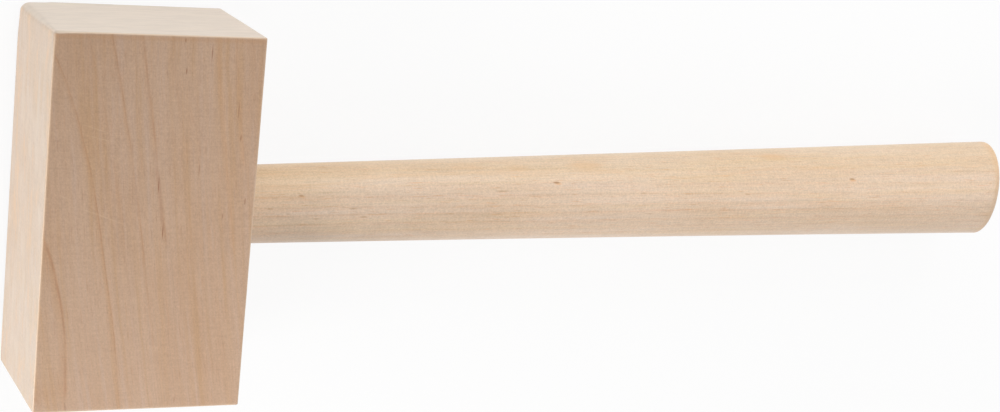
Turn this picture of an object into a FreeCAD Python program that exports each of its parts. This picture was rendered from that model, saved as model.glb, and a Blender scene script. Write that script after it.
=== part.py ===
import FreeCAD, Part
import math
import os

import Sketcher

# A joiner's mallet: a block of pale hardwood on a round turned handle.
#
# The handle has no shoulder. Its parallel end, the spigot, stands in a stopped round bore in
# the head's underside, so nothing shows on the crown. A wedge sits in a saw kerf in the spigot
# and butts against the bore's floor: as the handle is driven home, the wedge spreads the spigot
# along the head's grain and locks it for good. This is foxtail wedging.
#
# Frame: the mallet lies on one cheek. The origin is the centre of the head's lower cheek.
#   +X  from the crown to the underside, and on along the handle
#   +Y  from one striking face to the other, which is also the way of the head's grain
#   +Z  from the lower cheek to the upper one

# The sizes that drive the model, in millimetres and degrees.
DIMENSIONS = [
    ("head_length", 125.0, "head: striking face to striking face"),
    ("head_width", 69.0, "head: crown to underside"),
    ("head_thickness", 53.0, "head: cheek to cheek"),
    ("arris_radius", 1.0, "head: rounding of its twelve arrises"),
    ("handle_reach", 309.5, "handle: underside of the head to the butt"),
    ("neck_diameter", 26.6, "handle: diameter of the spigot and where it leaves the head"),
    ("middle_diameter", 31.0, "handle: diameter halfway along the reach"),
    ("butt_diameter", 36.5, "handle: diameter at the butt, before its rim is rounded"),
    ("butt_rim_radius", 2.5, "handle: rounding of the butt's rim"),
    ("spigot_chamfer", 1.5, "handle: lead-in on the spigot's end"),
    ("handle_lean", 1.3, "bore and handle: lean from square, towards +Y"),
    ("bore_depth", 52.0, "bore: underside to its flat floor, along the axis"),
    ("bore_end_gap", 1.5, "bore: space left past the spigot for glue"),
    ("fit_clearance", 0.05, "glue film on each side, in the bore and in the kerf"),
    ("wedge_length", 36.0, "wedge: along the handle"),
    ("wedge_thickness", 4.2, "wedge: at its thick end, on the bore's floor"),
    ("wedge_tip", 1.4, "wedge: at its thin end"),
    ("wedge_side_gap", 0.8, "wedge: from each edge to the spigot's surface"),
    ("kerf_beyond_wedge", 2.0, "kerf: its run past the wedge's thin end"),
]

# Sizes that follow from those, as expressions on the sheet.
HALF_WIDTH = "dims.head_width / 2"
HALF_THICKNESS = "dims.head_thickness / 2"
BORE_RADIUS = "dims.neck_diameter / 2 + dims.fit_clearance"
BORE_MOUTH_OVERCUT = "dims.neck_diameter * tan(dims.handle_lean * 1 deg) + 1"
SPIGOT_LENGTH = "(dims.bore_depth - dims.bore_end_gap)"
WEDGE_TIP_DEPTH = "(dims.bore_depth - dims.wedge_length)"
WEDGE_WIDTH = "sqrt(dims.neck_diameter^2 - dims.wedge_thickness^2) - 2 * dims.wedge_side_gap"
KERF_ROOT_DEPTH = "(dims.bore_depth - dims.wedge_length - dims.kerf_beyond_wedge)"
KERF_MOUTH_HALF = "dims.wedge_thickness / 2 + dims.fit_clearance"
KERF_ROOT_HALF = (
    "dims.wedge_tip / 2 + dims.fit_clearance"
    " - (dims.wedge_thickness - dims.wedge_tip) / 2 * dims.kerf_beyond_wedge / dims.wedge_length"
)

# The sketcher's own numbers: its origin and axes, and the ends and centre of a curve.
ORIGIN_POINT = (-1, 1)
ACROSS_AXIS = -1
UP_AXIS = -2
SIDE_START = 1
SIDE_END = 2
CENTRE = 3


def make_sheet(doc):
    """The spreadsheet of driving dimensions: name, value, meaning."""
    sheet = doc.addObject("Spreadsheet::Sheet", "dims")
    for row, (alias, value, meaning) in enumerate(DIMENSIONS, start=1):
        sheet.set(f"A{row}", alias)
        sheet.set(f"B{row}", str(value))
        sheet.set(f"C{row}", meaning)
        sheet.setAlias(f"B{row}", alias)
    doc.recompute()
    return sheet


def new_body(doc, label):
    body = doc.addObject("PartDesign::Body", label)
    body.Label = label
    return body


def new_sketch(body, name, role="XY_Plane"):
    """A sketch on one of the body's own origin planes."""
    plane = next(f for f in body.Origin.OriginFeatures if f.Role == role)
    sketch = body.newObject("Sketcher::SketchObject", name)
    sketch.AttachmentSupport = [(plane, "")]
    sketch.MapMode = "FlatFace"
    return sketch


def value_of(sheet, expression):
    return float(sheet.evalExpression(expression))


def hold(sketch, kind, axis, point, expression):
    """Ties one coordinate of a sketch point to the sheet. A leading minus means the far side."""
    if expression == "0":
        sketch.addConstraint(Sketcher.Constraint("PointOnObject", *point, axis))
        return
    behind = expression.startswith("-")
    size = expression[1:] if behind else expression
    ends = point + ORIGIN_POINT if behind else ORIGIN_POINT + point
    number = sketch.addConstraint(Sketcher.Constraint(kind, *ends, value_of(sketch, size)))
    sketch.setExpression(f"Constraints[{number}]", size)


def draw_outline(sketch, corners):
    """A closed outline of straight sides, through corners given as expressions."""
    places = [
        FreeCAD.Vector(value_of(sketch, across), value_of(sketch, up), 0)
        for across, up in corners
    ]
    for side, start in enumerate(places):
        end = places[(side + 1) % len(places)]
        sketch.addGeometry(Part.LineSegment(start, end), False)
    for side in range(len(corners)):
        following = (side + 1) % len(corners)
        joined = Sketcher.Constraint("Coincident", side, SIDE_END, following, SIDE_START)
        sketch.addConstraint(joined)
    for side, (across, up) in enumerate(corners):
        hold(sketch, "DistanceX", UP_AXIS, (side, SIDE_START), across)
        hold(sketch, "DistanceY", ACROSS_AXIS, (side, SIDE_START), up)


def draw_ring(body, name, distance, diameter):
    """A round section across the handle, that far along its axis."""
    sketch = new_sketch(body, name, "YZ_Plane")
    sketch.setExpression("AttachmentOffset.Base.z", distance)
    radius = value_of(sketch, diameter) / 2
    circle = sketch.addGeometry(
        Part.Circle(FreeCAD.Vector(), FreeCAD.Vector(0, 0, 1), radius), False
    )
    sketch.addConstraint(Sketcher.Constraint("Coincident", circle, CENTRE, *ORIGIN_POINT))
    number = sketch.addConstraint(Sketcher.Constraint("Diameter", circle, 2 * radius))
    sketch.setExpression(f"Constraints[{number}]", diameter)
    return sketch


def edges_across(shape, distance):
    """The names of the edges that lie wholly across the handle, that far along it."""
    return [
        f"Edge{number}"
        for number, edge in enumerate(shape.Edges, start=1)
        if all(abs(point.x - distance) < 1e-6 for point in edge.discretize(5))
    ]


def set_on_handle_axis(body):
    """Puts a body on the bore's axis, where the handle leaves the head, leaning with it."""
    body.Placement = FreeCAD.Placement(
        FreeCAD.Vector(), FreeCAD.Rotation(FreeCAD.Vector(0, 0, 1), 1)
    )
    body.setExpression("Placement.Base.x", HALF_WIDTH)
    body.setExpression("Placement.Base.z", HALF_THICKNESS)
    body.setExpression("Placement.Rotation.Angle", "dims.handle_lean * 1 deg")


def make_head(doc):
    """A planed block with broken arrises and the stopped bore in its underside."""
    body = new_body(doc, "head")
    outline = new_sketch(body, "head_cheek")
    half_length = "dims.head_length / 2"
    corners = [
        ("-" + HALF_WIDTH, "-" + half_length),
        (HALF_WIDTH, "-" + half_length),
        (HALF_WIDTH, half_length),
        ("-" + HALF_WIDTH, half_length),
    ]
    draw_outline(outline, corners)
    block = body.newObject("PartDesign::Pad", "head_block")
    block.Profile = outline
    block.setExpression("Length", "dims.head_thickness")
    doc.recompute()

    arrises = body.newObject("PartDesign::Fillet", "head_arrises")
    arrises.Base = (block, [f"Edge{number + 1}" for number in range(len(block.Shape.Edges))])
    arrises.setExpression("Radius", "dims.arris_radius")
    doc.recompute()

    section = new_sketch(body, "bore_section")
    section.AttachmentOffset = FreeCAD.Placement(
        FreeCAD.Vector(), FreeCAD.Rotation(FreeCAD.Vector(0, 0, 1), 1)
    )
    section.setExpression("AttachmentOffset.Base.x", HALF_WIDTH)
    section.setExpression("AttachmentOffset.Base.z", HALF_THICKNESS)
    section.setExpression("AttachmentOffset.Rotation.Angle", "dims.handle_lean * 1 deg")
    corners = [
        ("-dims.bore_depth", "0"),
        (BORE_MOUTH_OVERCUT, "0"),
        (BORE_MOUTH_OVERCUT, BORE_RADIUS),
        ("-dims.bore_depth", BORE_RADIUS),
    ]
    draw_outline(section, corners)
    bore = body.newObject("PartDesign::Groove", "bore")
    bore.Profile = section
    bore.ReferenceAxis = (section, ["H_Axis"])
    bore.Angle = 360
    body.Tip = bore
    doc.recompute()
    if not bore.Shape.Volume < arrises.Shape.Volume:
        raise SystemExit("the bore cut nothing from the head")
    return body


def make_handle(doc):
    """Turned between centres: parallel in the head, then swelling to the butt, with a kerf."""
    body = new_body(doc, "handle")
    neck = draw_ring(body, "neck_ring", "0", "dims.neck_diameter")
    middle = draw_ring(body, "middle_ring", "dims.handle_reach / 2", "dims.middle_diameter")
    butt = draw_ring(body, "butt_ring", "dims.handle_reach", "dims.butt_diameter")
    swell = body.newObject("PartDesign::AdditiveLoft", "swell")
    swell.Profile = neck
    swell.Sections = [middle, butt]
    swell.Ruled = False
    doc.recompute()

    spigot = body.newObject("PartDesign::Pad", "spigot")
    spigot.Profile = neck
    spigot.Reversed = True
    spigot.setExpression("Length", SPIGOT_LENGTH)
    doc.recompute()

    rim = body.newObject("PartDesign::Fillet", "butt_rim")
    rim.Base = (spigot, edges_across(spigot.Shape, value_of(neck, "dims.handle_reach")))
    rim.setExpression("Radius", "dims.butt_rim_radius")
    doc.recompute()

    lead_in = body.newObject("PartDesign::Chamfer", "spigot_lead_in")
    lead_in.Base = (rim, edges_across(rim.Shape, -value_of(neck, SPIGOT_LENGTH)))
    lead_in.setExpression("Size", "dims.spigot_chamfer")
    doc.recompute()

    slot = new_sketch(body, "kerf_section")
    corners = [
        ("-dims.bore_depth", "-(" + KERF_MOUTH_HALF + ")"),
        ("-" + KERF_ROOT_DEPTH, "-(" + KERF_ROOT_HALF + ")"),
        ("-" + KERF_ROOT_DEPTH, KERF_ROOT_HALF),
        ("-dims.bore_depth", KERF_MOUTH_HALF),
    ]
    draw_outline(slot, corners)
    kerf = body.newObject("PartDesign::Pocket", "kerf")
    kerf.Profile = slot
    kerf.SideType = "Symmetric"
    kerf.Type = "ThroughAll"
    body.Tip = kerf
    set_on_handle_axis(body)
    doc.recompute()
    if not kerf.Shape.Volume < lead_in.Shape.Volume:
        raise SystemExit("the kerf cut nothing from the handle")
    return body


def make_fox_wedge(doc):
    """A slip of hardwood in the kerf, thick end on the bore's floor."""
    body = new_body(doc, "fox_wedge")
    side = new_sketch(body, "wedge_side")
    corners = [
        ("-dims.bore_depth", "-dims.wedge_thickness / 2"),
        ("-" + WEDGE_TIP_DEPTH, "-dims.wedge_tip / 2"),
        ("-" + WEDGE_TIP_DEPTH, "dims.wedge_tip / 2"),
        ("-dims.bore_depth", "dims.wedge_thickness / 2"),
    ]
    draw_outline(side, corners)
    slip = body.newObject("PartDesign::Pad", "wedge_slip")
    slip.Profile = side
    slip.SideType = "Symmetric"
    slip.setExpression("Length", WEDGE_WIDTH)
    body.Tip = slip
    set_on_handle_axis(body)
    doc.recompute()
    return body


def check(doc, bodies):
    """Stops if any feature failed or any piece isn't one sound solid."""
    for item in doc.Objects:
        if "Invalid" in item.State or "Error" in item.State:
            raise SystemExit(f"{item.Label} failed: {item.State}")
    for body in bodies:
        shape = body.Shape
        if shape.isNull() or not shape.isValid() or len(shape.Solids) != 1:
            raise SystemExit(f"{body.Label} is not one sound solid")


def main():
    os.makedirs("parts", exist_ok=True)
    doc = FreeCAD.newDocument("mallet")
    make_sheet(doc)
    bodies = [make_head(doc), make_handle(doc), make_fox_wedge(doc)]
    doc.recompute()
    check(doc, bodies)
    for body in bodies:
        body.Shape.exportStep(f"parts/{body.Label}.step")
        box = body.Shape.optimalBoundingBox(False)
        print(
            f"{body.Label}: {body.Shape.Volume / 1000:.1f} cm3, "
            f"x {box.XMin:.2f} to {box.XMax:.2f}, y {box.YMin:.2f} to {box.YMax:.2f}, "
            f"z {box.ZMin:.2f} to {box.ZMax:.2f}"
        )


main()
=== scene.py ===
import math

import bmesh
import bpy
from mathutils import Matrix, Vector, noise


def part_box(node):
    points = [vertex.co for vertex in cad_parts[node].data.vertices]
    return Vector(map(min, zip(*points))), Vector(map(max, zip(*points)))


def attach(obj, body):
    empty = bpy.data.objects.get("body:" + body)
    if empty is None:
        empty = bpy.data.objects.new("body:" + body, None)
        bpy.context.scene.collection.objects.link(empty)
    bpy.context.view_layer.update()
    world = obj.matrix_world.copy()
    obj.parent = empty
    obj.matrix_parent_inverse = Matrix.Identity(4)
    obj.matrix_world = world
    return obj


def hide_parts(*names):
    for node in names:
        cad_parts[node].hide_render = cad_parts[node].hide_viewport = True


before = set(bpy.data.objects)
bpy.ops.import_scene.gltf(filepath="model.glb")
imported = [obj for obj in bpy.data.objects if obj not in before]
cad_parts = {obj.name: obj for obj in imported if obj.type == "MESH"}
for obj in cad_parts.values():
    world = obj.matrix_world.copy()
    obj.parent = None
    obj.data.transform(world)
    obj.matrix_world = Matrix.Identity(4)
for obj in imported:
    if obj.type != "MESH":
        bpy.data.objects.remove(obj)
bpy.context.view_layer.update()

# The mallet lies on its side. The head's broad faces are its cheeks, the upper one at high z. Its
# ends are the striking faces, the upper one at high y. The crown, at low x, is the side away from
# the handle, and the underside is the side that the handle enters.

MM = 0.001
SHARP_ANGLE = math.radians(35)
# Lengths under TINY count as nothing, and vertices closer than MERGE_WITHIN are one.
TINY = 0.01 * MM
MERGE_WITHIN = 0.001 * MM

# ---------------------------------------------------------------- sizes of the worked wood

# The head's arrises: crisp off the plane, and eased by hand where the crown meets a striking
# face, fully at the upper face and slightly at the lower one.
CRISP_ARRIS = 0.6 * MM
EASED_ARRIS = 2.8 * MM
EASING_REACH = 12 * MM
LOWER_FACE_EASING = 0.15
# The easing is slighter by the upper cheek and full from this far above the lower one.
UPPER_CHEEK_EASING = 0.3
UPPER_CHEEK_DEPTH = 4 * MM
FULL_EASING_HEIGHT = 20 * MM
ARRIS_UNEVENNESS = 0.25
ARRIS_WAVE = 14 * MM
# How far the flat faces fall away from their middles towards their ends, and the share of that
# which comes and goes in a slow wave.
FACE_CROWNING = 0.1 * MM
FACE_WAVE = 23 * MM
WAVE_SHARE = 0.2
# Loops that follow each arris, and the spacing of the loops between them.
ARRIS_LOOPS = [0.12 * MM, 0.3 * MM, 0.55 * MM, 0.9 * MM, 1.4 * MM, 2.0 * MM, 2.9 * MM, 4.5 * MM]
FACE_LOOP_SPACING = 6 * MM
# The bore is wider than the spigot by the glue, and its cutter starts outside the underside.
GLUE_GAP = 0.05 * MM
BORE_OVERCUT = 5 * MM

# Where the handle's solid is cut across, to find its axis and its radii.
AXIS_FROM_HEAD = 10 * MM
AXIS_FROM_BUTT = 30 * MM
NECK_FROM_HEAD = 1 * MM
GRIP_FROM_BUTT = 8 * MM

# The handle is turned through stations, the last one this far short of the butt, and it bows a
# little towards the lower striking face.
TURNING_STEPS = 128
STATION_SPACING = 5 * MM
LAST_STATION = 9 * MM
SPIGOT_CHAMFER = 1.5 * MM
HANDLE_BOW = -0.45 * MM
# Its butt is trimmed a little off square, and the rim is eased by hand, most towards the side of
# the upper cheek. "Up" is towards that cheek and "across" towards the upper striking face.
BUTT_SETBACK = 2.2 * MM
BUTT_DISCS = (0.75, 0.5, 0.25, 0)
RIM_LOOPS = 8
RIM_EASING = 0.7 * MM
RIM_EASING_ABOVE = 3.6 * MM
RIM_EASING_ACROSS = -0.1 * MM
BUTT_SLANT_ACROSS = 1.25 * MM
BUTT_SLANT_UP = -0.55 * MM
BUTT_ROLL = 0.85 * MM
# The kerf in the spigot tapers from its open end, and its cutter is broader than the spigot.
KERF_OPEN_WIDTH = 4.40 * MM
KERF_BLIND_WIDTH = 1.36 * MM
KERF_BELOW_UNDERSIDE = 14 * MM
KERF_OVERCUT = 3 * MM
KERF_BREADTH = 40 * MM

# ---------------------------------------------------------------- making the pieces


def named_mesh(bm, name):
    """A new piece from a bmesh, smooth over gentle bends and sharp at real corners."""
    bmesh.ops.recalc_face_normals(bm, faces=bm.faces)
    mesh = bpy.data.meshes.new(name)
    bm.to_mesh(mesh)
    bm.free()
    piece = bpy.data.objects.new(name, mesh)
    bpy.context.scene.collection.objects.link(piece)
    mesh.shade_smooth()
    mesh.set_sharp_from_angle(angle=SHARP_ANGLE)
    return piece


def cut_out(piece, cutter):
    """Takes the cutter's shape out of the piece and removes the cutter."""
    saw = piece.modifiers.new("cut", "BOOLEAN")
    saw.operation = "DIFFERENCE"
    saw.solver = "EXACT"
    saw.object = cutter
    bpy.context.view_layer.update()
    cut = piece.evaluated_get(bpy.context.evaluated_depsgraph_get())
    mesh = bpy.data.meshes.new_from_object(cut)
    piece.modifiers.clear()
    uncut = piece.data
    piece.data = mesh
    bpy.data.meshes.remove(uncut)
    bpy.data.objects.remove(cutter)
    mesh.set_sharp_from_angle(angle=SHARP_ANGLE)


def cut_across(bm, place, normal):
    """Cuts a loop through the whole bmesh and returns what was cut."""
    geometry = bm.verts[:] + bm.edges[:] + bm.faces[:]
    cut = bmesh.ops.bisect_plane(bm, geom=geometry, plane_co=place, plane_no=normal)
    return cut["geom_cut"]


def section_of(node, x):
    """Centre and radius of a round CAD piece, cut across at x."""
    bm = bmesh.new()
    bm.from_mesh(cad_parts[node].data)
    cut = cut_across(bm, (x, 0, 0), (1, 0, 0))
    rim = [item.co.copy() for item in cut if isinstance(item, bmesh.types.BMVert)]
    bm.free()
    low, high = (Vector(pick(point[i] for point in rim) for i in range(3)) for pick in (min, max))
    return (low + high) / 2, (high.z - low.z) / 2


def clamped(value):
    return min(1.0, max(0.0, value))


def eased_step(value, start, end):
    """0 before start, 1 past end, and a smooth rise between them."""
    share = clamped((value - start) / (end - start))
    return share * share * (3 - 2 * share)


head_low, head_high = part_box("head")
handle_low, handle_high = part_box("handle")
head_middle = (head_low + head_high) / 2
underside = head_high.x
near_section, _ = section_of("handle", underside + AXIS_FROM_HEAD)
far_section, _ = section_of("handle", handle_high.x - AXIS_FROM_BUTT)
handle_run = far_section - near_section
handle_lean = math.atan2(handle_run.y, handle_run.x)
handle_start = near_section - handle_run * (near_section.x - underside) / handle_run.x


def set_on_handle_axis(bm):
    """Moves a piece made along +X from the underside onto the leaning handle's axis."""
    bmesh.ops.rotate(bm, matrix=Matrix.Rotation(handle_lean, 3, "Z"), verts=bm.verts)
    bmesh.ops.translate(bm, vec=handle_start, verts=bm.verts)


def arris_radius(place):
    """How round the arris nearest a point is: most where the crown meets a striking face."""
    from_crown = eased_step(place.x, head_low.x + EASING_REACH, head_low.x)
    from_upper_face = eased_step(place.y, head_high.y - EASING_REACH, head_high.y)
    from_lower_face = eased_step(place.y, head_low.y + EASING_REACH, head_low.y)
    from_striking_face = from_upper_face + LOWER_FACE_EASING * from_lower_face
    slight, full = head_high.z - UPPER_CHEEK_DEPTH, head_low.z + FULL_EASING_HEIGHT
    deep_down = eased_step(place.z, slight, full)
    depth_share = UPPER_CHEEK_EASING + (1 - UPPER_CHEEK_EASING) * deep_down
    eased = from_crown * from_striking_face * depth_share
    uneven = 1 + ARRIS_UNEVENNESS * noise.noise(place / ARRIS_WAVE)
    return (CRISP_ARRIS + (EASED_ARRIS - CRISP_ARRIS) * eased) * uneven


def worked_place(place):
    """Where planing, sanding and easing leave a point of the sawn block."""
    radius = arris_radius(place)
    inner = Vector(
        min(max(place[i], head_low[i] + radius), head_high[i] - radius) for i in range(3)
    )
    worked = inner + (place - inner).normalized() * radius
    share = [2 * (place[i] - head_middle[i]) / (head_high[i] - head_low[i]) for i in range(3)]
    wave = 0.5 + 0.5 * noise.noise(place / FACE_WAVE)
    for i in range(3):
        furthest = max(share[j] ** 2 for j in range(3) if j != i)
        fall = FACE_CROWNING * ((1 - WAVE_SHARE) * furthest + WAVE_SHARE * wave)
        worked[i] -= math.copysign(fall, share[i]) * abs(share[i]) ** 3
    return worked


def loop_places(start, end):
    """Where loops are cut between two faces: close by the arrises and even elsewhere."""
    first, last = start + ARRIS_LOOPS[-1], end - ARRIS_LOOPS[-1]
    spaces = round((last - first) / FACE_LOOP_SPACING)
    places = [start + loop for loop in ARRIS_LOOPS[:-1]]
    places += [end - loop for loop in ARRIS_LOOPS[:-1]]
    return places + [first + (last - first) * step / spaces for step in range(spaces + 1)]


def bore_cutter():
    """A plain cylinder from outside the underside to the floor of the stopped bore."""
    _, neck = section_of("handle", underside + NECK_FROM_HEAD)
    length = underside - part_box("fox_wedge")[0].x + BORE_OVERCUT
    along_x = Matrix.Rotation(math.pi / 2, 4, "Y")
    bm = bmesh.new()
    bmesh.ops.create_cone(
        bm,
        segments=TURNING_STEPS,
        radius1=neck + GLUE_GAP,
        radius2=neck + GLUE_GAP,
        depth=length,
        cap_ends=True,
        matrix=Matrix.Translation((BORE_OVERCUT - length / 2, 0, 0)) @ along_x,
    )
    set_on_handle_axis(bm)
    return named_mesh(bm, "bore_cutter")


def make_head():
    """A planed block with hand-eased arrises, slightly crowned faces and the stopped bore."""
    bm = bmesh.new()
    bmesh.ops.create_cube(bm, size=1)
    bmesh.ops.scale(bm, vec=head_high - head_low, verts=bm.verts)
    bmesh.ops.translate(bm, vec=head_middle, verts=bm.verts)
    for axis in range(3):
        normal = Vector(float(i == axis) for i in range(3))
        for place in loop_places(head_low[axis], head_high[axis]):
            cut_across(bm, normal * place, normal)
    for vert in bm.verts:
        vert.co = worked_place(vert.co.copy())
    head = named_mesh(bm, "head_block")
    cut_out(head, bore_cutter())
    return head


def swelled_radius(share, neck, middle, butt):
    """A smooth swell through three radii; share runs from 0 at the head to 1 at the butt."""
    swell = 2 * (neck + butt - 2 * middle)
    return neck + (butt - neck) * share + swell * (share * share - share)


def handle_profile(reach, spigot):
    """The turned profile as (along, out) points, from the spigot's end to the butt's middle."""
    places = [
        underside + NECK_FROM_HEAD,
        underside + reach / 2,
        underside + reach - GRIP_FROM_BUTT,
    ]
    neck, middle, butt = (section_of("handle", x)[1] for x in places)
    profile = [(-spigot, 0), (-spigot, neck - SPIGOT_CHAMFER), (SPIGOT_CHAMFER - spigot, neck)]
    spaces = round((reach - LAST_STATION) / STATION_SPACING)
    for step in range(spaces + 1):
        along = (reach - LAST_STATION) * step / spaces
        profile.append((along, swelled_radius(along / reach, neck, middle, butt)))
    for step in range(RIM_LOOPS + 1):
        turn = math.pi / 2 * step / RIM_LOOPS
        out = butt - RIM_EASING * (1 - math.cos(turn))
        profile.append((reach - RIM_EASING * (1 - math.sin(turn)), out))
    profile += [(reach, butt * share) for share in BUTT_DISCS]
    return profile, butt


def trim_butt(bm, reach, radius):
    """Eases the rim unevenly, slants the sawn end and rolls it over, as handwork leaves it."""
    for vert in bm.verts:
        if vert.co.x < reach - RIM_EASING - TINY:
            continue
        out = math.hypot(vert.co.y, vert.co.z)
        across, up = (vert.co.y / out, vert.co.z / out) if out > TINY else (0, 0)
        easing = RIM_EASING + RIM_EASING_ACROSS * across + RIM_EASING_ABOVE * max(0, up)
        turn_along = clamped(1 - (reach - vert.co.x) / RIM_EASING)
        turn_out = clamped(1 - (radius - out) / RIM_EASING)
        on_the_end = turn_along >= 0.999
        if on_the_end:
            new_out = (radius - easing) * out / (radius - RIM_EASING)
        else:
            new_out = radius - easing * (1 - turn_out)
        share = new_out / radius
        slant = (BUTT_SLANT_ACROSS * across + BUTT_SLANT_UP * up) * share
        slant += BUTT_ROLL * (across * across - up * up) * share * share
        vert.co.x = reach - easing * (1 - turn_along) + slant
        vert.co.y = new_out * across
        vert.co.z = new_out * up


def kerf_cutter(spigot):
    """A tapered slip that saws the kerf, from beyond the spigot's end to near the underside."""
    bm = bmesh.new()
    bmesh.ops.create_cube(bm, size=1)
    for vert in bm.verts:
        outer = vert.co.x < 0
        vert.co.x = -spigot - KERF_OVERCUT if outer else -KERF_BELOW_UNDERSIDE
        vert.co.y *= KERF_OPEN_WIDTH if outer else KERF_BLIND_WIDTH
        vert.co.z *= KERF_BREADTH
    set_on_handle_axis(bm)
    return named_mesh(bm, "kerf_cutter")


def make_handle():
    """The turned handle: spigot with its kerf, swelling grip and trimmed butt."""
    reach = (handle_high.x - underside) / math.cos(handle_lean) - BUTT_SETBACK
    spigot = (underside - handle_low.x) / math.cos(handle_lean)
    profile, butt = handle_profile(reach, spigot)
    bm = bmesh.new()
    verts = [bm.verts.new((along, out, 0)) for along, out in profile]
    edges = [bm.edges.new(pair) for pair in zip(verts, verts[1:])]
    bmesh.ops.spin(
        bm,
        geom=verts + edges,
        cent=(0, 0, 0),
        axis=(1, 0, 0),
        angle=2 * math.pi,
        steps=TURNING_STEPS,
        use_merge=True,
    )
    bmesh.ops.remove_doubles(bm, verts=bm.verts, dist=MERGE_WITHIN)
    trim_butt(bm, reach, butt)
    for vert in bm.verts:
        vert.co.y += HANDLE_BOW * max(0, vert.co.x / reach) ** 2
    set_on_handle_axis(bm)
    handle = named_mesh(bm, "handle_turned")
    cut_out(handle, kerf_cutter(spigot))
    return handle


# ---------------------------------------------------------------- shader tools


class Wire:
    """A value in a material. Python maths on it adds the Math nodes."""

    def __init__(self, finish, socket):
        self.finish = finish
        self.socket = socket

    def maths(self, operation, *values):
        return self.finish.add("ShaderNodeMath", {"operation": operation}, values)

    def __add__(self, other):
        return self.maths("ADD", self, other)

    def __radd__(self, other):
        return self.maths("ADD", other, self)

    def __sub__(self, other):
        return self.maths("SUBTRACT", self, other)

    def __rsub__(self, other):
        return self.maths("SUBTRACT", other, self)

    def __mul__(self, other):
        return self.maths("MULTIPLY", self, other)

    def __rmul__(self, other):
        return self.maths("MULTIPLY", other, self)

    def __truediv__(self, other):
        return self.maths("DIVIDE", self, other)

    def __abs__(self):
        return self.maths("ABSOLUTE", self)

    def floor(self):
        return self.maths("FLOOR", self)

    def at_least(self, other):
        return self.maths("MAXIMUM", self, other)

    def at_most(self, other):
        return self.maths("MINIMUM", self, other)

    def between(self, start, end, low=0.0, high=1.0):
        """Goes smoothly from low at start to high at end, and stays level beyond them."""
        return self.finish.add(
            "ShaderNodeMapRange",
            {"interpolation_type": "SMOOTHSTEP"},
            {"Value": self, "From Min": start, "From Max": end, "To Min": low, "To Max": high},
        )


class Finish:
    """The nodes of one material, or of the studio's sky."""

    def __init__(self, owner):
        owner.use_nodes = True
        self.owner = owner
        self.tree = owner.node_tree

    def add(self, kind, settings=None, inputs=(), output=0):
        """Adds a node: its settings first, then values or wires into its sockets."""
        node = self.tree.nodes.new(kind)
        for name, value in (settings or {}).items():
            if name == "stops":
                self.set_stops(node.color_ramp, value)
            elif name == "ramp_steps":
                node.color_ramp.interpolation = value
            else:
                setattr(node, name, value)
        pairs = inputs.items() if isinstance(inputs, dict) else enumerate(inputs)
        for key, value in pairs:
            self.feed(node.inputs[key], value)
        return Wire(self, node.outputs[output])

    def feed(self, socket, value):
        if isinstance(value, Wire):
            self.tree.links.new(value.socket, socket)
        else:
            socket.default_value = value

    def set_stops(self, ramp, stops):
        """Gives a ramp its stops, each a position and a grey level."""
        while len(ramp.elements) > 1:
            ramp.elements.remove(ramp.elements[-1])
        ramp.elements[0].position = stops[0][0]
        for position, _ in stops[1:]:
            ramp.elements.new(position)
        for element, (_, level) in zip(ramp.elements, stops):
            element.color = (level, level, level, 1)

    def show(self, shader, ready_made, output):
        """Shows a shader in place of the ready-made one."""
        self.tree.nodes.remove(self.tree.nodes[ready_made])
        self.feed(self.tree.nodes[output].inputs["Surface"], shader)

    def point(self):
        """Position on the piece, in millimetres."""
        point = self.add("ShaderNodeTexCoord", output="Object")
        return self.add("ShaderNodeVectorMath", {"operation": "SCALE"}, {0: point, "Scale": 1000})

    def split(self, point):
        return [self.add("ShaderNodeSeparateXYZ", inputs=[point], output=i) for i in range(3)]

    def vector(self, *parts):
        return self.add("ShaderNodeCombineXYZ", inputs=parts)

    def length(self, vector):
        return self.add("ShaderNodeVectorMath", {"operation": "LENGTH"}, [vector], output="Value")

    def oval(self, point, centre, size):
        """1 in the middle of an oval spot, fading to 0 at its edge."""
        off = self.add("ShaderNodeVectorMath", {"operation": "SUBTRACT"}, [point, centre])
        off = self.add("ShaderNodeVectorMath", {"operation": "DIVIDE"}, [off, size])
        return self.length(off).between(1.0, 0.25)

    def speckle(self, point, detail=2.0, roughness=0.5):
        """Smooth noise from 0 to 1, most of it near a half."""
        return self.add(
            "ShaderNodeTexNoise",
            {"noise_dimensions": "3D"},
            {"Vector": point, "Scale": 1.0, "Detail": detail, "Roughness": roughness},
        )

    def tint(self, base, shade, amount, blend="MIX"):
        """Mixes a colour towards a shade, by an amount from 0 to 1."""
        return self.add(
            "ShaderNodeMix",
            {"data_type": "RGBA", "blend_type": blend, "clamp_factor": True},
            {0: amount, 6: base, 7: shade},
            output=2,
        )

    def dye(self, base, factors, amount):
        """Multiplies a colour's red, green and blue by factors, by an amount from 0 to 1."""
        return self.tint(base, self.vector(*factors), amount, "MULTIPLY")

    def lighten(self, base, level):
        """Multiplies a colour by one level, above 1 to lighten and below 1 to darken."""
        return self.dye(base, (level, level, level), 1.0)


def srgb(red, green, blue):
    """A paint-chart colour, 0 to 255, as the linear colour a shader takes."""
    parts = []
    for level in (red / 255, green / 255, blue / 255):
        parts.append(level / 12.92 if level <= 0.04045 else ((level + 0.055) / 1.055) ** 2.4)
    return (*parts, 1.0)


# ---------------------------------------------------------------- wood in general

# Lengths in the woods are millimetres. "Along" runs with the grain; "across" and "deep" are
# square to it and start at the tree's pith, so the growth rings are circles in them.
RING_SPACING = 3.3
# A ring that has no strength of its own gets one by lottery, from the faintest upwards.
FAINTEST_RING = 0.1
RING_LOTTERY = 0.6
# The warm late wood starts this far inside a ring's dark line and ends this far outside it.
LATE_WOOD_INSIDE = 2.4
LATE_WOOD_OUTSIDE = 0.9
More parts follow.
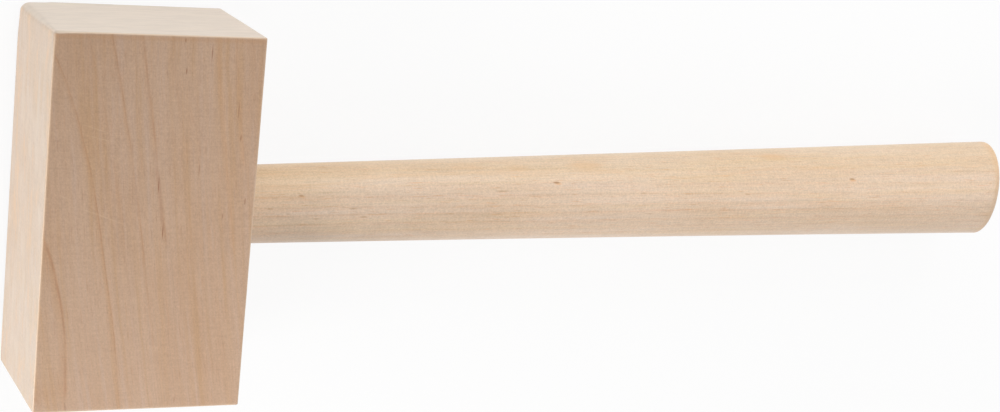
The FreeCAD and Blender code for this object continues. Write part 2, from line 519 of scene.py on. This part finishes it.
# A ring cut at a slant looks wider, down to this slant.
FLATTEST_CUT = 0.1
WAVER_DEPTH = 0.8
FLECK_STRENGTH = 0.5
STREAK_FADE = 8
# The roughness follows the fibres, which stand up by the relief, in metres.
FIBRE_ROUGHNESS = 0.10
RELIEF = 0.12 * MM
RELIEF_STRENGTH = 0.2
WOOD_IOR = 1.5

# Each figure of the wood: how fast it changes across the grain and along it, its detail and its
# roughness.
FIGURES = {
    "wander": (0.05, 0.018, 2, 0.5),
    "waver": (0.25, 0.07, 2, 0.5),
    "fading": (0.06, 0.03, 2, 0.5),
    "breaks": (0.2, 0.16, 3, 0.6),
    "bands": (0.42, 0.010, 3, 0.6),
    "fibres": (1.9, 0.022, 4, 0.7),
    "dashes": (3.2, 0.13, 2, 0.6),
    "blotches": (0.045, 0.02, 2, 0.5),
    "mottle": (0.5, 0.3, 3, 0.65),
    "grit": (1.7, 1.3, 3, 0.75),
    "sanding": (0.1, 2.4, 2, 0.6),
}
# Scattered pith flecks: how closely they are strewn across the grain and along it.
FLECKS_ACROSS = 0.2
FLECKS_ALONG = 0.035


def ring_number(finish, radius, known):
    """How many growth rings out a point is; known lists the radii of whole rings."""
    first, last = known[0], known[-1]
    span = last - first
    stops = [((ring - first) / span, count / (len(known) - 1)) for count, ring in enumerate(known)]
    share = ((radius - first) / span).at_least(0).at_most(1)
    inside = finish.add("ShaderNodeValToRGB", {"stops": stops}, [share])
    inner = (radius - first).at_most(0) / RING_SPACING
    outer = (radius - last).at_least(0) / RING_SPACING
    return inside * (len(known) - 1) + inner + outer


def is_ring(nearest, first, last):
    """1 at the rings numbered from first to last, and 0 at all others."""
    return nearest.between(first - 0.9, first - 0.1) * nearest.between(last + 0.9, last + 0.1)


def ring_strength(finish, nearest, along, look):
    """How dark the nearest ring is: as its look says, or by lottery."""
    lottery = finish.add(
        "ShaderNodeTexWhiteNoise",
        {"noise_dimensions": "1D"},
        {"W": nearest + look["seed"]},
        output="Value",
    )
    levels = look["ring_strengths"]
    count = len(levels)
    share = ((nearest + 0.5) / count).at_least(0).at_most(1)
    stops = [(number / count, level) for number, level in enumerate(levels)]
    named = finish.add("ShaderNodeValToRGB", {"stops": stops, "ramp_steps": "CONSTANT"}, [share])
    is_named = is_ring(nearest, 0, count - 1)
    drawn = FAINTEST_RING + RING_LOTTERY * lottery * lottery
    strength = named * is_named + drawn * (1 - is_named)
    for ring, whole, gone in look["ring_ends"]:
        strength = strength * (1 - is_ring(nearest, ring, ring) * along.between(whole, gone))
    return strength


def ring_lines(finish, radius, along, squareness, look):
    """The thin dark line that ends each ring, and the warm late wood that leads up to it."""
    rings = ring_number(finish, radius, look["known_rings"])
    nearest = (rings + 0.5).floor()
    strength = ring_strength(finish, nearest, along, look)
    off = (rings - nearest) * RING_SPACING / squareness
    line = abs(off).between(look["line_width"], 0.05) * strength
    inside = off.between(-LATE_WOOD_INSIDE, -0.1)
    outside = off.between(LATE_WOOD_OUTSIDE, 0.0)
    return line, inside * outside * strength


def scattered_flecks(finish, across, along, deep):
    """Small pith flecks, strewn thinly through the wood and drawn out along the grain."""
    place = finish.vector(across * FLECKS_ACROSS, along * FLECKS_ALONG, deep * FLECKS_ACROSS)
    cells = {"Vector": place, "Scale": 1.0}
    settings = {"voronoi_dimensions": "3D", "feature": "F1"}
    far = finish.add("ShaderNodeTexVoronoi", settings, cells, output="Distance")
    luck = finish.add("ShaderNodeTexVoronoi", settings, cells, output="Color")
    luck = finish.add("ShaderNodeSeparateColor", inputs=[luck])
    small = far.between(0.085, 0.03)
    few = luck.between(0.6, 0.95)
    return small * few


def figure(finish, kind, place):
    """One figure of the wood, from 0 to 1, at a place across, along and deep."""
    across, along, deep = place
    pitch, long_pitch, detail, roughness = FIGURES[kind]
    place = finish.vector(across * pitch, along * long_pitch, deep * pitch)
    return finish.speckle(place, detail, roughness)


def make_wood(finish, across, along, deep, look):
    """Pale, fine-pored wood: its colour, height and gloss, and its radius from the pith."""
    straight = (across, along, deep)
    wander = (figure(finish, "wander", straight) - 0.5) * look["wander"]
    waver = (figure(finish, "waver", straight) - 0.5) * WAVER_DEPTH
    across_here = across + wander + waver
    deep_here = deep + wander * look["deep_wander"]
    wandering = (across_here, along, deep_here)
    radius = finish.length(finish.vector(across_here, 0.0, deep_here))
    squareness = (across_here / radius).at_least(FLATTEST_CUT) if look["flat_sawn"] else 1.0
    line, late_wood = ring_lines(finish, radius, along, squareness, look)
    fading = figure(finish, "fading", straight).between(0.3, 0.6, 0.4, 1.0)
    breaks = figure(finish, "breaks", straight).between(0.38, 0.58, look["line_breaks"], 1.0)
    line = line * fading * breaks
    late_wood = late_wood * fading

    bands = figure(finish, "bands", wandering)
    fibres = figure(finish, "fibres", wandering)
    dashes = figure(finish, "dashes", wandering)
    blotches = figure(finish, "blotches", straight).between(0.32, 0.68)
    warm_bands = bands.between(0.46, 0.72)
    light_bands = bands.between(0.46, 0.25)
    hairs = fibres.between(0.57, 0.72)
    pores = dashes.between(0.56, 0.74)
    flecks = scattered_flecks(finish, across, along, deep)
    colour = look["pale"]
    for shade, amount in (
        ("deep", blotches),
        ("warm", warm_bands * look["band_strength"]),
        ("light", light_bands * look["band_strength"]),
        ("late_wood", late_wood * look["late_wood_strength"]),
        ("line", line * look["line_strength"]),
        ("line", hairs * look["hair_strength"]),
        ("pore", pores * look["pore_strength"]),
        ("fleck", flecks * FLECK_STRENGTH),
    ):
        colour = finish.tint(colour, look[shade], amount)

    tone = 1 + (fibres - 0.5) * look["fibre_contrast"]
    for kind in ("mottle", "grit", "sanding"):
        tone = tone + (figure(finish, kind, straight) - 0.5) * look[kind + "_contrast"]
    colour = finish.lighten(colour, tone)
    height = fibres * 0.5 + dashes * 0.5 + line * -0.25
    gloss = look["roughness"] + (fibres - 0.5) * FIBRE_ROUGHNESS
    return colour, height, gloss, radius


def finish_surface(finish, colour, height, gloss):
    """Wires the wood into the surface: bare, sanded, with only a low sheen."""
    surface = finish.tree.nodes["Principled BSDF"]
    relief = {"Strength": RELIEF_STRENGTH, "Distance": RELIEF, "Height": height}
    finish.feed(surface.inputs["Base Color"], colour)
    finish.feed(surface.inputs["Roughness"], gloss)
    finish.feed(surface.inputs["Normal"], finish.add("ShaderNodeBump", {}, relief, "Normal"))
    finish.feed(surface.inputs["IOR"], WOOD_IOR)
    return finish.owner


def add_spots(finish, colour, point, spots, shade):
    """Tints oval spots of the wood, each given by its centre, its reach and its strength."""
    for centre, reach, strength in spots:
        colour = finish.tint(colour, shade, finish.oval(point, centre, reach) * strength)
    return colour


# ---------------------------------------------------------------- the looks of the two woods

# known_rings are the radii of the rings that show from above, from the innermost outwards, and
# ring_strengths are how dark each is. An entry of ring_ends names a ring by its number, the place
# along the grain where it is still whole and the place where it is gone. The strengths mix each
# shade in, and the contrasts set the fine grain.
HEAD_LOOK = {
    "seed": 11.5,
    "flat_sawn": True,
    "known_rings": [96.05, 98.45, 100.3, 102.1, 105.0, 108.7, 112.3, 115.9, 119.3],
    "ring_strengths": [1.0, 0.85, 0.3, 0.75, 0.65, 0.12, 0.1, 0.35, 0.3],
    "ring_ends": [(0, -54, -62), (3, -28, -42), (4, -2, -10), (7, -2, -14), (8, 24, 12)],
    "line_width": 0.45,
    "line_breaks": 0.3,
    "wander": 0.9,
    "deep_wander": 0.08,
    "pale": srgb(190, 158, 132),
    "deep": srgb(186, 152, 124),
    "warm": srgb(184, 146, 108),
    "light": srgb(190, 162, 142),
    "late_wood": srgb(180, 134, 90),
    "line": srgb(160, 106, 68),
    "fleck": srgb(140, 88, 52),
    "pore": srgb(158, 110, 74),
    "band_strength": 0.6,
    "late_wood_strength": 0.4,
    "line_strength": 0.42,
    "hair_strength": 0.2,
    "pore_strength": 0.3,
    "fibre_contrast": 0.28,
    "mottle_contrast": 0.14,
    "grit_contrast": 0.54,
    "sanding_contrast": 0.14,
    "roughness": 0.33,
}

HANDLE_LOOK = {
    "seed": 3.5,
    "flat_sawn": False,
    "known_rings": [66.0, 69.5, 72.0, 75.2, 78.0, 81.5, 84.3, 87.4],
    "ring_strengths": [0.7, 0.9, 0.7, 0.8, 0.5, 0.35, 0.3, 0.3],
    "ring_ends": [],
    "line_width": 0.38,
    "line_breaks": 0.0,
    "wander": 1.6,
    "deep_wander": 0.6,
    "pale": srgb(224, 199, 175),
    "deep": srgb(221, 194, 167),
    "warm": srgb(222, 193, 153),
    "light": srgb(225, 204, 188),
    "late_wood": srgb(216, 175, 135),
    "line": srgb(200, 146, 104),
    "fleck": srgb(178, 134, 92),
    "pore": srgb(206, 150, 98),
    "band_strength": 0.4,
    "late_wood_strength": 0.22,
    "line_strength": 0.3,
    "hair_strength": 0.42,
    "pore_strength": 0.5,
    "fibre_contrast": 0.44,
    "mottle_contrast": 0.13,
    "grit_contrast": 0.66,
    "sanding_contrast": 0.1,
    "roughness": 0.36,
}

# Pale colour for the scores across the cheek, and for the painted highlight along the arrises.
PALE_SCRATCH_AND_PAINTED_HIGHLIGHT = srgb(236, 205, 172)
ORANGE = srgb(222, 168, 112)
ORANGE_FIGURE = srgb(224, 182, 134)
PALE_FIGURE = srgb(214, 197, 178)
BROWN_RED = srgb(150, 94, 62)
RUBBED = srgb(176, 132, 92)
# Pale end grain, partly the wood's own and partly painted sheen.
END_GRAIN_AND_PAINTED_SHEEN = srgb(222, 207, 189)

# Factors on red, green and blue. The crown and the underside are paler, partly as edge-sawn wood
# and partly as painted sheen, and paler still by the upper cheek and by the lower striking face as
# painted light. The handle is warmer on the upper striking face's side, and has warm painted shade
# there by the head.
CROWN_PALENESS_AND_PAINTED_SHEEN = (1.18, 1.35, 1.50)
PAINTED_LIGHT_ON_EDGE_SAWN = (1.0, 1.05, 1.10)
WARMER = (0.99, 0.98, 0.80)
PAINTED_WARM_SHADE_BY_HEAD = (0.92, 0.90, 0.84)

# ---------------------------------------------------------------- the head's wood

# The head's middle is at this z, and so is the handle's axis.
MIDDLE_Z = 26.5
# The pith ran beyond the crown and under the lower cheek: its place in millimetres, with its
# slope and its bend along the head.
HEAD_PITH_X = (-37.57, -0.127, 0.000497)
HEAD_PITH_Z = (-43.17, -0.019, -0.000282)

# Coloured runs that follow a ring: its radius, the run's half width, its two ends, its shade and
# its strength.
HEAD_STREAKS = [
    (115.9, 1.0, -12, 66, ORANGE, 0.09),
    (119.1, 0.6, 16, 66, ORANGE, 0.07),
    (104.8, 0.3, -6, 24, BROWN_RED, 0.22),
]
# Flecks that stand out: the centre of each, its reach from there and how dark it is.
HEAD_FLECKS = [
    ((7.4, 60.8, 53), (0.3, 0.9, 3), 0.8),
    ((8.4, 50.9, 53), (0.28, 1.5, 3), 0.8),
    ((16.4, 57.0, 53), (0.26, 3.8, 3), 0.7),
    ((26.6, 38.0, 53), (0.26, 4.0, 3), 0.5),
    ((28.0, 29.4, 53), (0.28, 1.6, 3), 0.7),
    ((31.1, 8.2, 53), (0.28, 1.6, 3), 0.65),
    ((14.9, 18.6, 53), (0.3, 3.2, 3), 0.4),
    ((1.9, 13.7, 53), (0.26, 4.2, 3), 0.75),
    ((4.3, -2.0, 53), (0.26, 3.6, 3), 0.8),
    ((23.9, 3.2, 53), (0.28, 1.3, 3), 0.5),
    ((12.2, -59.5, 53), (0.28, 1.8, 3), 0.4),
    ((-27.0, -12.0, 0), (0.3, 2.6, 3), 0.6),
    ((12.0, 22.0, 0), (0.28, 4.0, 3), 0.6),
]
# Scores across the upper cheek, from x, y to x, y.
HEAD_SCRATCHES = [
    ((-24.3, 33.3), (-14.0, 30.0)),
    ((-22.9, 29.8), (-12.0, 27.2)),
    ((-23.3, 6.1), (-7.9, 0.4)),
    ((-30.9, 10.6), (-24.4, 8.0)),
]
SCRATCH_STRENGTH = 0.12
# Painted shade: the colour darkens by these shares per millimetre, towards the upper striking face
# and the crown, and less so on the crown and the underside themselves.
PAINTED_SHADE_ALONG = 0.0013
PAINTED_SHADE_ACROSS = -0.0009
PAINTED_SHADE_EVENED = 0.6
# Painted light on the crown and underside, towards the upper cheek and the lower striking face.
PAINTED_LIGHT_BY_CHEEK = 0.55
PAINTED_LIGHT_BY_LOWER_FACE = 0.4
ORANGE_RIBBONS = 0.42
PALE_RIBBONS = 0.34
# How much the striking faces take the pale end grain and painted sheen.
END_GRAIN_AND_SHEEN_STRENGTH = 0.82
# Painted highlight along the arrises.
ARRIS_PAINTED_HIGHLIGHT = 0.4
RUBBED_STRENGTH = 0.25


def off_pith(place, along, pith):
    """How far a point lies from the pith, which has a place, a slope and a bend."""
    start, slope, bend = pith
    return place - start - along * slope - along * along * bend


def streak(radius, along, ring, width, start, end):
    """1 along a ring, from start to end along the grain."""
    ends = along.between(start, start + STREAK_FADE) * along.between(end, end - STREAK_FADE)
    return abs(radius - ring).between(width, 0.0) * ends


def scratch(place, start, end):
    """1 on a hair-thin score across the upper cheek, from start to end."""
    x, y, z = place
    run = Vector(end) - Vector(start)
    reach = run.length
    run = run / reach
    along = (x - start[0]) * run.x + (y - start[1]) * run.y
    off = abs((y - start[1]) * run.x - (x - start[0]) * run.y)
    ends = along.between(0, 3) * along.between(reach, reach - 4)
    on_upper_cheek = z.between(50, 52)
    return off.between(0.3, 0.05) * ends * on_upper_cheek


def faces_along(direction):
    """1 where a face looks along an axis, fading out as it turns away."""
    return abs(direction).between(0.3, 0.8)


def edge_sawn_figure_and_painted_light(finish, colour, place, edge_sawn):
    """The crown and the underside: paler, partly the wood and partly painted sheen and light, with
    orange and pale ribbons.
    """
    x, y, z = place
    # Paler partly as edge-sawn wood and partly as painted sheen.
    colour = finish.dye(colour, CROWN_PALENESS_AND_PAINTED_SHEEN, edge_sawn)
    # Painted light: paler still towards the upper cheek and the lower striking face.
    painted_light_share = z.between(8, 45) * PAINTED_LIGHT_BY_CHEEK + y.between(0, -50) * PAINTED_LIGHT_BY_LOWER_FACE
    colour = finish.dye(colour, PAINTED_LIGHT_ON_EDGE_SAWN, edge_sawn * painted_light_share)
    sway = finish.speckle(finish.vector(x * 0.1, y * 0.07, z * 0.07)) * 1.8
    ribbon_place = finish.vector(x * 0.1, y * 0.045, z * 0.17 + y * 0.02 + sway)
    ribbons = finish.speckle(ribbon_place, 3, 0.65)
    orange = ribbons.between(0.5, 0.66) * edge_sawn * ORANGE_RIBBONS
    pale = ribbons.between(0.48, 0.34) * edge_sawn * PALE_RIBBONS
    return finish.tint(finish.tint(colour, ORANGE_FIGURE, orange), PALE_FIGURE, pale)


def striking_face_grain_and_sheen(finish, colour, across, y, deep, end_sawn):
    """The striking faces: pale end grain, partly the wood's own and partly painted sheen, with
    light bands.
    """
    bands = finish.speckle(finish.vector(across * 0.10, y * 0.01, deep * 0.42), 3, 0.6)
    end_grain_and_sheen = finish.lighten(END_GRAIN_AND_PAINTED_SHEEN, bands.between(0.3, 0.7, 0.93, 1.04))
    return finish.tint(colour, end_grain_and_sheen, end_sawn * END_GRAIN_AND_SHEEN_STRENGTH)


def painted_arris_highlight_and_rubbing(finish, colour, place):
    """Paints a highlight along the arrises, and darkens the one between upper cheek and upper
    striking face.
    """
    x, y, z = place
    near_x = abs(x).between(33.6, 34.3)
    near_y = abs(y).between(61.7, 62.2)
    near_z = abs(z - MIDDLE_Z).between(25.6, 26.3)
    arris = (near_x * near_y).at_least(near_y * near_z).at_least(near_x * near_z)
    # Painted highlight along every arris.
    colour = finish.tint(colour, PALE_SCRATCH_AND_PAINTED_HIGHLIGHT, arris * ARRIS_PAINTED_HIGHLIGHT)
    rubbed = y.between(59.9, 61.0) * y.between(61.8, 61.3) * z.between(52.3, 52.7)
    return finish.tint(colour, RUBBED, rubbed * RUBBED_STRENGTH)


def head_wood():
    """The head's wood: its grain runs from one striking face to the other, a little off line."""
    finish = Finish(bpy.data.materials.new("head_wood"))
    point = finish.point()
    place = finish.split(point)
    x, y, z = place
    across = off_pith(x, y, HEAD_PITH_X)
    deep = off_pith(z, y, HEAD_PITH_Z)
    colour, height, gloss, radius = make_wood(finish, across, y, deep, HEAD_LOOK)
    for ring, width, start, end, shade, strength in HEAD_STREAKS:
        run = streak(radius, y, ring, width, start, end)
        colour = finish.tint(colour, shade, run * strength)
    colour = add_spots(finish, colour, point, HEAD_FLECKS, HEAD_LOOK["fleck"])
    for start, end in HEAD_SCRATCHES:
        score = scratch(place, start, end)
        colour = finish.tint(colour, PALE_SCRATCH_AND_PAINTED_HIGHLIGHT, score * SCRATCH_STRENGTH)

    facing = finish.split(finish.add("ShaderNodeTexCoord", output="Normal"))
    edge_sawn, end_sawn = faces_along(facing[0]), faces_along(facing[1])
    # Painted shade: darker towards the upper striking face and the crown, less on the crown and
    # underside.
    fall = (y * PAINTED_SHADE_ALONG + x * PAINTED_SHADE_ACROSS) * (1 - edge_sawn * PAINTED_SHADE_EVENED)
    colour = finish.lighten(colour, 1 - fall)
    colour = edge_sawn_figure_and_painted_light(finish, colour, place, edge_sawn)
    colour = striking_face_grain_and_sheen(finish, colour, across, y, deep, end_sawn)
    colour = painted_arris_highlight_and_rubbing(finish, colour, place)
    return finish_surface(finish, colour, height, gloss)


# ---------------------------------------------------------------- the handle's wood

# The pith ran beside the handle, on the lower striking face's side, rising towards the butt.
HANDLE_PITH_Z = 20.5
HANDLE_PITH_Y = -68
HANDLE_PITH_SLOPE = 0.018
WEDGE_PITH_Z = -20
WEDGE_PITH_Y = -75

HANDLE_FLECKS = [
    ((55.4, 6.3, 38.6), (1.3, 0.5, 2), 0.7),
    ((44.4, 2.0, 39.7), (1.8, 0.35, 2), 0.5),
    ((60.9, -1.5, 40.0), (1.6, 0.35, 2), 0.5),
    ((51.0, 0.2, 39.9), (1.2, 0.35, 2), 0.35),
    ((78.0, -0.8, 40.2), (2.0, 0.35, 2), 0.6),
    ((110.0, 0.3, 40.7), (1.8, 0.35, 2), 0.35),
    ((129.2, 8.2, 39.7), (3.4, 0.4, 2), 0.5),
    ((150.3, 11.1, 38.7), (1.9, 0.45, 2), 1.0),
    ((184.6, 7.9, 41.1), (1.8, 0.35, 2), 0.45),
    ((227.4, 7.7, 42.0), (1.8, 0.35, 2), 0.45),
    ((272.7, 13.4, 41.2), (1.7, 0.5, 2), 0.85),
    ((283.8, 7.4, 43.4), (1.4, 0.35, 2), 0.4),
    ((120.0, -4.0, 13.5), (1.8, 0.5, 2), 0.6),
    ((236.0, 12.0, 11.5), (1.5, 0.5, 2), 0.6),
]
# The orange wood beside the darkest flecks.
HANDLE_GLOWS = [
    ((55.8, 5.9, 38.6), (1.6, 0.5, 2), 0.4),
    ((151.0, 10.7, 38.7), (2.1, 0.55, 2), 0.6),
    ((273.1, 12.9, 41.2), (2.1, 0.6, 2), 0.6),
]
# Warm patches along the side of the upper striking face.
HANDLE_PATCHES = [
    ((118, 15.5, 33), (9, 1.8, 5), 0.2),
    ((137, 15.0, 33), (7, 1.5, 5), 0.2),
    ((163.6, 16.2, 33.3), (10, 1.8, 5), 0.45),
    ((241.7, 19.6, 32.6), (9, 1.3, 5), 0.5),
]
# The warm wood lies on the upper striking face's side. Its edge is at this y, rising along the
# handle, with one hollow, a drop by the head and ripples.
WARM_EDGE = 9.9
WARM_EDGE_RISE = 0.028
HOLLOW_PLACE = 203
HOLLOW_REACH = 38
HOLLOW_DEPTH = 2.8
DROP_BY_HEAD = 3
RIPPLE_DEPTH = 4
WARM_STRENGTH = 0.36
WARM_EDGE_STRENGTH = 0.2
# The rim at the butt is tinted along the slant of its trimmed end.
RIM_SLANT_Y = 0.06
RIM_SLANT_Z = 0.08
RIM_STRENGTH = 0.5
# Painted shade on the handle near the head.
PAINTED_SHADE_BY_HEAD = 0.08


def past_warm_edge(finish, x, y, z):
    """How far a point lies inside the handle's warm wood, less than 0 outside it."""
    hollow = (1 - abs(x - HOLLOW_PLACE) / HOLLOW_REACH).at_least(0) * HOLLOW_DEPTH
    dip = hollow + x.between(95, 45) * DROP_BY_HEAD
    ripple = finish.speckle(finish.vector(x * 0.06, y * 0.3, z * 0.3), 3, 0.6) - 0.5
    return y - (WARM_EDGE + x * WARM_EDGE_RISE - dip) + ripple * RIPPLE_DEPTH


def handle_wood():
    """The handle's wood: its grain runs along it, and is warmer on one side."""
    finish = Finish(bpy.data.materials.new("handle_wood"))
    point = finish.point()
    x, y, z = finish.split(point)
    across = z - HANDLE_PITH_Z
    deep = y - HANDLE_PITH_Y - x * HANDLE_PITH_SLOPE
    colour, height, gloss, _ = make_wood(finish, across, x, deep, HANDLE_LOOK)
    past_edge = past_warm_edge(finish, x, y, z)
    colour = finish.dye(colour, WARMER, past_edge.between(-5.0, 2.5) * WARM_STRENGTH)
    edge = abs(past_edge).between(0.8, 0.0)
    colour = finish.tint(colour, ORANGE_FIGURE, edge * WARM_EDGE_STRENGTH)
    colour = add_spots(finish, colour, point, HANDLE_PATCHES, ORANGE_FIGURE)
    colour = add_spots(finish, colour, point, HANDLE_GLOWS, ORANGE)
    colour = add_spots(finish, colour, point, HANDLE_FLECKS, HANDLE_LOOK["fleck"])
    rim = (x - y * RIM_SLANT_Y + (z - MIDDLE_Z) * RIM_SLANT_Z).between(336.5, 340.5)
    colour = finish.tint(colour, ORANGE_FIGURE, rim * RIM_STRENGTH)
    # Painted shade by the head: warmer and darker on the upper striking face's side.
    painted_warm_shade = x.between(90, 38) * y.between(3, 10)
    colour = finish.dye(colour, PAINTED_WARM_SHADE_BY_HEAD, painted_warm_shade)
    # Painted shade: darker near the head, away from the upper striking face's side.
    painted_shade_near_head = x.between(200, 70) * y.between(13, 6)
    colour = finish.lighten(colour, 1 - painted_shade_near_head * PAINTED_SHADE_BY_HEAD)
    return finish_surface(finish, colour, height, gloss)


def wedge_wood():
    """The hidden wedge: a slip of the same wood, split from a straight-grained offcut."""
    finish = Finish(bpy.data.materials.new("wedge_wood"))
    x, y, z = finish.split(finish.point())
    across, deep = z - WEDGE_PITH_Z, y - WEDGE_PITH_Y
    colour, height, gloss, _ = make_wood(finish, across, x, deep, HANDLE_LOOK)
    return finish_surface(finish, colour, height, gloss)


def clothe(piece, material):
    piece.data.materials.clear()
    piece.data.materials.append(material)


# ---------------------------------------------------------------- the mallet

head = make_head()
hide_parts("head")
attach(head, "root")
clothe(head, head_wood())

handle = make_handle()
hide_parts("handle")
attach(handle, "root")
clothe(handle, handle_wood())

wedge_finish = wedge_wood()
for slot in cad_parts["fox_wedge"].material_slots:
    slot.material = wedge_finish

# ---------------------------------------------------------------- camera

# It stands above the head, beyond the crown and the upper striking face.
CAMERA_PLACE = (-0.1823, 0.1821, 0.7000)
CAMERA_TURN = (-16.554, -23.583, 6.659)
CAMERA_LENS = 77.13

camera_data = bpy.data.cameras.new("camera")
camera_data.lens = CAMERA_LENS
camera = bpy.data.objects.new("camera", camera_data)
camera.location = CAMERA_PLACE
camera.rotation_euler = [math.radians(angle) for angle in CAMERA_TURN]
bpy.context.scene.collection.objects.link(camera)
bpy.context.scene.camera = camera
bpy.context.scene.view_settings.view_transform = "Standard"

# ---------------------------------------------------------------- floor and light

FLOOR_SIZE = 6.0
FLOOR_CLEARANCE = 0.05 * MM
# How far from its end the butt touches the floor.
BUTT_REST = 6 * MM
PAPER_WHITE = (0.92, 0.92, 0.92, 1)
WHITE = (1, 1, 1, 1)
# The paper shows this share of its light and shade near the mallet, and none of it further off.
# The distances are in millimetres from a point below the middle of the mallet.
LIT_SHARE = 0.11
LIT_NEAR = 300
LIT_FAR = 650
LIT_CENTRE_X = 150
SKY_STRENGTH = 0.25


def make_floor():
    """A wide sheet under the head's lower arris and the butt, so it rises towards the butt."""
    rise = math.atan2(handle_low.z, handle_high.x - BUTT_REST - underside)
    bm = bmesh.new()
    bmesh.ops.create_grid(bm, x_segments=1, y_segments=1, size=FLOOR_SIZE / 2)
    bmesh.ops.rotate(bm, matrix=Matrix.Rotation(-rise, 3, "Y"), verts=bm.verts)
    bmesh.ops.translate(bm, vec=(underside, 0, -FLOOR_CLEARANCE), verts=bm.verts)
    return named_mesh(bm, "floor")


def white_to_the_eye(finish, lit, whiteness):
    """Mixes a lit shader with plain white, for the camera and for what gloss reflects."""
    rays = ("Is Camera Ray", "Is Glossy Ray", "Is Transmission Ray")
    camera_ray, glossy_ray, transmission_ray = [
        finish.add("ShaderNodeLightPath", output=ray) for ray in rays
    ]
    seen = camera_ray.at_least(glossy_ray).at_least(transmission_ray)
    white = finish.add("ShaderNodeEmission", inputs={"Color": WHITE, "Strength": 1})
    return finish.add("ShaderNodeMixShader", inputs=[seen * whiteness, lit, white])


def floor_paper():
    """White paper, which shows a soft shadow round the mallet and none further off."""
    finish = Finish(bpy.data.materials.new("floor_paper"))
    x, y, z = finish.split(finish.point())
    far = finish.length(finish.vector(x - LIT_CENTRE_X, y, z))
    whiteness = 1 - far.between(LIT_FAR, LIT_NEAR) * LIT_SHARE
    paper = finish.add("ShaderNodeBsdfDiffuse", inputs={"Color": PAPER_WHITE})
    shown = white_to_the_eye(finish, paper, whiteness)
    finish.show(shown, "Principled BSDF", "Material Output")
    return finish.owner


def studio_sky():
    """An even pale sky, plain white to the eye."""
    finish = Finish(bpy.data.worlds.new("studio"))
    sky = finish.add("ShaderNodeBackground", inputs={"Color": WHITE, "Strength": SKY_STRENGTH})
    finish.show(white_to_the_eye(finish, sky, 1.0), "Background", "World Output")
    return finish.owner


def softbox(name, place, aim, size, power):
    """A square soft lamp that looks at a point, in metres and watts."""
    data = bpy.data.lights.new(name, "AREA")
    data.size = size
    data.energy = power
    lamp = bpy.data.objects.new(name, data)
    lamp.location = place
    lamp.rotation_euler = (Vector(aim) - Vector(place)).to_track_quat("-Z", "Y").to_euler()
    bpy.context.scene.collection.objects.link(lamp)


floor = make_floor()
clothe(floor, floor_paper())
bpy.context.scene.world = studio_sky()
softbox("low_at_the_crown", place=(-0.9, -0.5, 0.3), aim=(0, 0, 0.02), size=0.6, power=9.3)
softbox("beyond_the_top", place=(0.2, 0.9, 0.4), aim=(0.15, 0, 0.02), size=0.9, power=6.2)
softbox("over_the_butt", place=(0.55, 0.1, 0.5), aim=(0.25, 0, 0.02), size=0.5, power=1.15)
softbox("over_the_cheek", place=(0.02, -0.32, 0.38), aim=(0.02, -0.03, 0.03), size=0.25, power=0.6)
